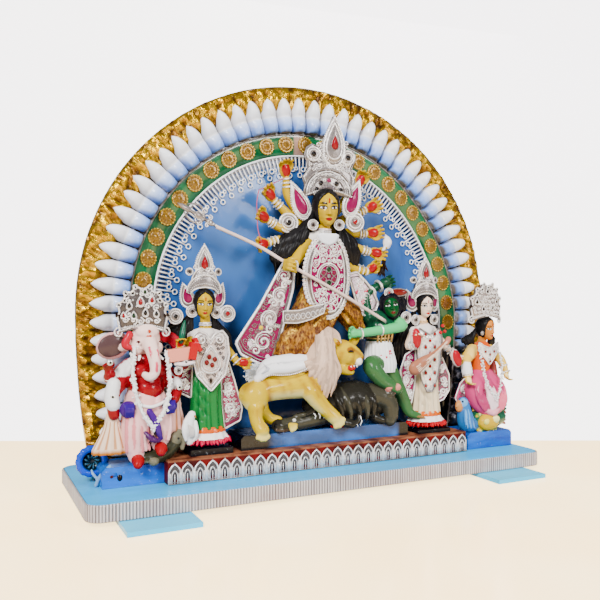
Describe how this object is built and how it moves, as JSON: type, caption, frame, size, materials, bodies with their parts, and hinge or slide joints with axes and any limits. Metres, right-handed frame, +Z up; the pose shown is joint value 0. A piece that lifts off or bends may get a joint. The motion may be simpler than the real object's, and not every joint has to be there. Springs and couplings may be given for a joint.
{
  "type": "durga figure",
  "caption": "Painted clay tableau of a ten-armed goddess on a lion with four companions, on a plinth board under a petalled arch.",
  "frame": {"origin": "on the table, under the middle of the box that holds the whole tableau", "axes": "+X along the board to the viewer's right, +Y from the front to the back, +Z up"},
  "size_m": [0.47, 0.213, 0.3987],
  "materials": {
    "blue_paint": "gloss paint",
    "foil": "stamped silver foil",
    "navy_paint": "gloss paint",
    "step_paint": "painted, red lining",
    "gold_tinsel": "crinkled gold tinsel",
    "petal_paint": "pearl white and blue paint",
    "green_paint": "glossy green paint on the arch board, under gold foil rosettes",
    "clay_yellow": "glossy yellow enamel on clay",
    "clay_green": "glossy green enamel on clay",
    "clay_black": "glossy black enamel on clay",
    "clay_cream": "white and pink enamel on clay",
    "clay_pale": "pale enamel on clay",
    "clay_blue": "blue enamel on clay",
    "clay_pink": "pink enamel on clay",
    "clay_grey": "grey enamel on clay",
    "cerise_cloth": "stiff cerise foil paper with silver foil scrolls",
    "pink_cloth": "stiff pale pink coated paper",
    "tassel": "white thread",
    "spear_paint": "pale pink paint"
  },
  "bodies": {
    "root": {"base_board": "blue_paint", "base_edge_strip": "foil", "foot_slat_left": "blue_paint", "foot_slat_right": "blue_paint", "centre_step": "step_paint", "step_lace": "foil", "lion_block": "blue_paint", "lakshmi_block": "navy_paint", "saraswati_block": "navy_paint", "ganesha_block": "blue_paint", "kartikeya_block": "blue_paint", "arch_board": "blue_paint", "tinsel_border": "gold_tinsel", "petal_ring": "petal_paint", "rosette_band": "green_paint", "lace_fringe": "foil", "lion": "clay_yellow", "durga": "clay_yellow", "spear": "spear_paint", "demon": "clay_green", "buffalo": "clay_black", "durga_crown": "foil", "durga_breastplate": "foil", "durga_shawl_left": "cerise_cloth", "durga_shawl_right": "pink_cloth", "durga_belt": "foil", "durga_tassel": "tassel", "ganesha": "clay_cream", "ganesha_crown": "foil", "mouse": "clay_grey", "lakshmi": "clay_yellow", "lakshmi_crown": "foil", "lakshmi_breastplate": "foil", "lakshmi_shawl_right": "cerise_cloth", "lakshmi_shawl_left": "foil", "lakshmi_lotus": "clay_pink", "lakshmi_casket": "clay_pink", "owl": "clay_cream", "saraswati": "clay_pale", "saraswati_crown": "foil", "saraswati_apron": "foil", "saraswati_veena": "spear_paint", "saraswati_shawl_left": "cerise_cloth", "saraswati_shawl_right": "cerise_cloth", "saraswati_lotus": "clay_pink", "kartikeya": "clay_yellow", "kartikeya_crown": "foil", "kartikeya_cloth_left": "pink_cloth", "kartikeya_cloth_right": "pink_cloth", "peacock": "clay_blue", "blue_dish": "clay_blue"}
  },
  "joints": []
}
